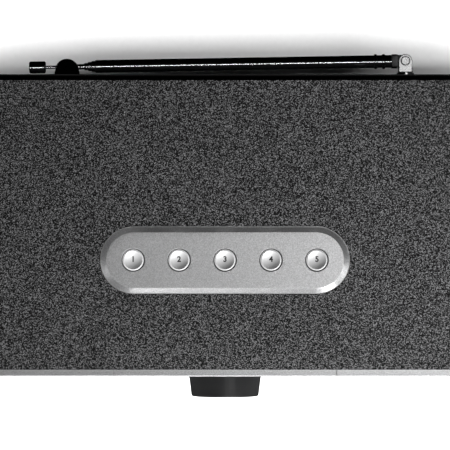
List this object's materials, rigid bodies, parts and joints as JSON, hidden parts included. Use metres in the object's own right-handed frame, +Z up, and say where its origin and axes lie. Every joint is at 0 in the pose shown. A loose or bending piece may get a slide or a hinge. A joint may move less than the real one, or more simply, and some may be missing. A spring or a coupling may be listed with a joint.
{
  "type": "tabletop radio",
  "caption": "Tabletop radio: vinyl-covered wooden box with grilled speakers, display, tuning knob, a pill-shaped tray of round preset buttons on top and a telescopic aerial at the back.",
  "frame": {"origin": "on the tabletop plane under the centre of the wooden box; the overall box's centre is 1.6 mm in front of it, because the knob stands out further than the aerial", "axes": "+X to the listener's right when facing the front, -Y out of the front, +Y out of the back, +Z up"},
  "size_m": [0.297, 0.1901, 0.114],
  "materials": {
    "cabinet_board": "raw fibreboard",
    "grained_vinyl": "embossed vinyl, fine pebble grain",
    "black_rubber": "matt",
    "black_steel": "black oxide",
    "black_board": "black-faced fibreboard",
    "silver_paint": "satin silver paint",
    "grille_steel": "satin black powder coat",
    "smoked_window": "smoked, polished",
    "lcd": "dark glass in a black frame",
    "circuit_board": "green solder mask",
    "switch_plastic": "moulded",
    "silver_button": "satin metallic, fine grain",
    "black_plastic": "fine texture",
    "knob_plastic": "satin black",
    "zinc": "plated",
    "basket_steel": "satin black",
    "ferrite": "ground",
    "cone_paper": "pressed paper",
    "soft_rubber": "satin",
    "nylon": "natural",
    "cable_jacket": "satin",
    "aerial_chrome": "polished plating"
  },
  "bodies": {
    "cabinet": {"cabinet_box": "cabinet_board", "vinyl_wrap": "grained_vinyl", "rubber_feet": "black_rubber", "case_screws": "black_steel", "foot_screws": "black_steel", "board_screws": "black_steel", "speaker_screws": "black_steel", "front_baffle": "black_board", "centre_panel": "silver_paint", "grille_frame_left": "silver_paint", "grille_frame_right": "silver_paint", "preset_plate": "silver_paint", "grille_mesh_left": "grille_steel", "grille_mesh_right": "grille_steel", "display_lens": "smoked_window", "lcd_module": "lcd", "front_pcb": "circuit_board", "preset_pcb": "circuit_board", "main_pcb": "circuit_board", "front_switches": "switch_plastic", "preset_switches": "switch_plastic", "rear_cover": "black_plastic", "bass_port": "black_plastic", "aerial_clip": "black_plastic", "dc_jack": "black_plastic", "audio_jacks": "black_plastic", "encoder_body": "zinc", "encoder_nut": "zinc", "speaker_basket_left": "basket_steel", "speaker_basket_right": "basket_steel", "speaker_magnet_left": "ferrite", "speaker_magnet_right": "ferrite", "speaker_suspension_left": "soft_rubber", "speaker_suspension_right": "soft_rubber", "pcb_spacers": "nylon", "ribbon_cables": "cable_jacket", "speaker_wires": "cable_jacket", "aerial_bush": "aerial_chrome"},
    "preset_1": {"preset_button_1": "silver_button"},
    "preset_2": {"preset_button_2": "silver_button"},
    "preset_3": {"preset_button_3": "silver_button"},
    "preset_4": {"preset_button_4": "silver_button"},
    "preset_5": {"preset_button_5": "silver_button"},
    "power_key": {"power_button": "black_plastic"},
    "source_key": {"source_button": "black_plastic"},
    "menu_key": {"menu_button": "black_plastic"},
    "back_key": {"back_button": "black_plastic"},
    "rotor": {"encoder_rotor": "switch_plastic"},
    "knob": {"tuning_knob": "knob_plastic", "encoder_shaft": "zinc"},
    "cone_left": {"speaker_cone_left": "cone_paper"},
    "cone_right": {"speaker_cone_right": "cone_paper"},
    "swivel": {"aerial_swivel": "aerial_chrome", "aerial_pin": "aerial_chrome"},
    "mast": {"aerial_tube_1": "aerial_chrome"},
    "section_2": {"aerial_tube_2": "aerial_chrome"},
    "section_3": {"aerial_tube_3": "aerial_chrome"},
    "section_4": {"aerial_tube_4": "aerial_chrome"},
    "section_5": {"aerial_tube_5": "aerial_chrome"},
    "tip": {"aerial_tip": "aerial_chrome"}
  },
  "joints": [
    {"name": "press_preset_1", "type": "slide", "parent": "cabinet", "child": "preset_1", "axis": [0, 0, -1], "range_m": [0, 0.001], "stiffness_N_per_m": 600, "springref_m": -0.0012},
    {"name": "press_preset_2", "type": "slide", "parent": "cabinet", "child": "preset_2", "axis": [0, 0, -1], "range_m": [0, 0.001], "stiffness_N_per_m": 600, "springref_m": -0.0012},
    {"name": "press_preset_3", "type": "slide", "parent": "cabinet", "child": "preset_3", "axis": [0, 0, -1], "range_m": [0, 0.001], "stiffness_N_per_m": 600, "springref_m": -0.0012},
    {"name": "press_preset_4", "type": "slide", "parent": "cabinet", "child": "preset_4", "axis": [0, 0, -1], "range_m": [0, 0.001], "stiffness_N_per_m": 600, "springref_m": -0.0012},
    {"name": "press_preset_5", "type": "slide", "parent": "cabinet", "child": "preset_5", "axis": [0, 0, -1], "range_m": [0, 0.001], "stiffness_N_per_m": 600, "springref_m": -0.0012},
    {"name": "press_power", "type": "slide", "parent": "cabinet", "child": "power_key", "axis": [0, 1, 0], "range_m": [0, 0.0008], "stiffness_N_per_m": 600, "springref_m": -0.0012},
    {"name": "press_source", "type": "slide", "parent": "cabinet", "child": "source_key", "axis": [0, 1, 0], "range_m": [0, 0.0008], "stiffness_N_per_m": 600, "springref_m": -0.0012},
    {"name": "press_menu", "type": "slide", "parent": "cabinet", "child": "menu_key", "axis": [0, 1, 0], "range_m": [0, 0.0008], "stiffness_N_per_m": 600, "springref_m": -0.0012},
    {"name": "press_back", "type": "slide", "parent": "cabinet", "child": "back_key", "axis": [0, 1, 0], "range_m": [0, 0.0008], "stiffness_N_per_m": 600, "springref_m": -0.0012},
    {"name": "turn_knob", "type": "hinge", "parent": "cabinet", "child": "rotor", "pos_m": [0, -0.0825, 0.042], "axis": [0, 1, 0], "continuous": true},
    {"name": "press_knob", "type": "slide", "parent": "rotor", "child": "knob", "axis": [0, 1, 0], "range_m": [0, 0.0005], "stiffness_N_per_m": 2500, "springref_m": -0.0012},
    {"name": "cone_left_stroke", "type": "slide", "parent": "cabinet", "child": "cone_left", "axis": [0, -1, 0], "range_m": [-0.0015, 0.0015], "stiffness_N_per_m": 1500, "deforming": ["speaker_suspension_left"]},
    {"name": "cone_right_stroke", "type": "slide", "parent": "cabinet", "child": "cone_right", "axis": [0, -1, 0], "range_m": [-0.0015, 0.0015], "stiffness_N_per_m": 1500, "deforming": ["speaker_suspension_right"]},
    {"name": "turn_aerial", "type": "hinge", "parent": "cabinet", "child": "swivel", "pos_m": [0.0986, 0.082, 0.1], "axis": [0, 1, 0], "range_deg": [0, 180], "deforming": ["aerial_clip"]},
    {"name": "fold_aerial", "type": "hinge", "parent": "swivel", "child": "mast", "pos_m": [0.0986, 0.0897, 0.1], "axis": [0, 0, -1], "range_deg": [0, 91], "deforming": ["aerial_clip"]},
    {"name": "extend_section_2", "type": "slide", "parent": "mast", "child": "section_2", "axis": [-0.9999, -0.0171, 0], "range_m": [0, 0.145], "deforming": ["aerial_clip"]},
    {"name": "extend_section_3", "type": "slide", "parent": "section_2", "child": "section_3", "axis": [-0.9999, -0.0171, 0], "range_m": [0, 0.145], "deforming": ["aerial_clip"]},
    {"name": "extend_section_4", "type": "slide", "parent": "section_3", "child": "section_4", "axis": [-0.9999, -0.0171, 0], "range_m": [0, 0.145], "deforming": ["aerial_clip"]},
    {"name": "extend_section_5", "type": "slide", "parent": "section_4", "child": "section_5", "axis": [-0.9999, -0.0171, 0], "range_m": [0, 0.145], "deforming": ["aerial_clip"]},
    {"name": "extend_tip", "type": "slide", "parent": "section_5", "child": "tip", "axis": [-0.9999, -0.0171, 0], "range_m": [0, 0.145], "deforming": ["aerial_clip"]}
  ]
}
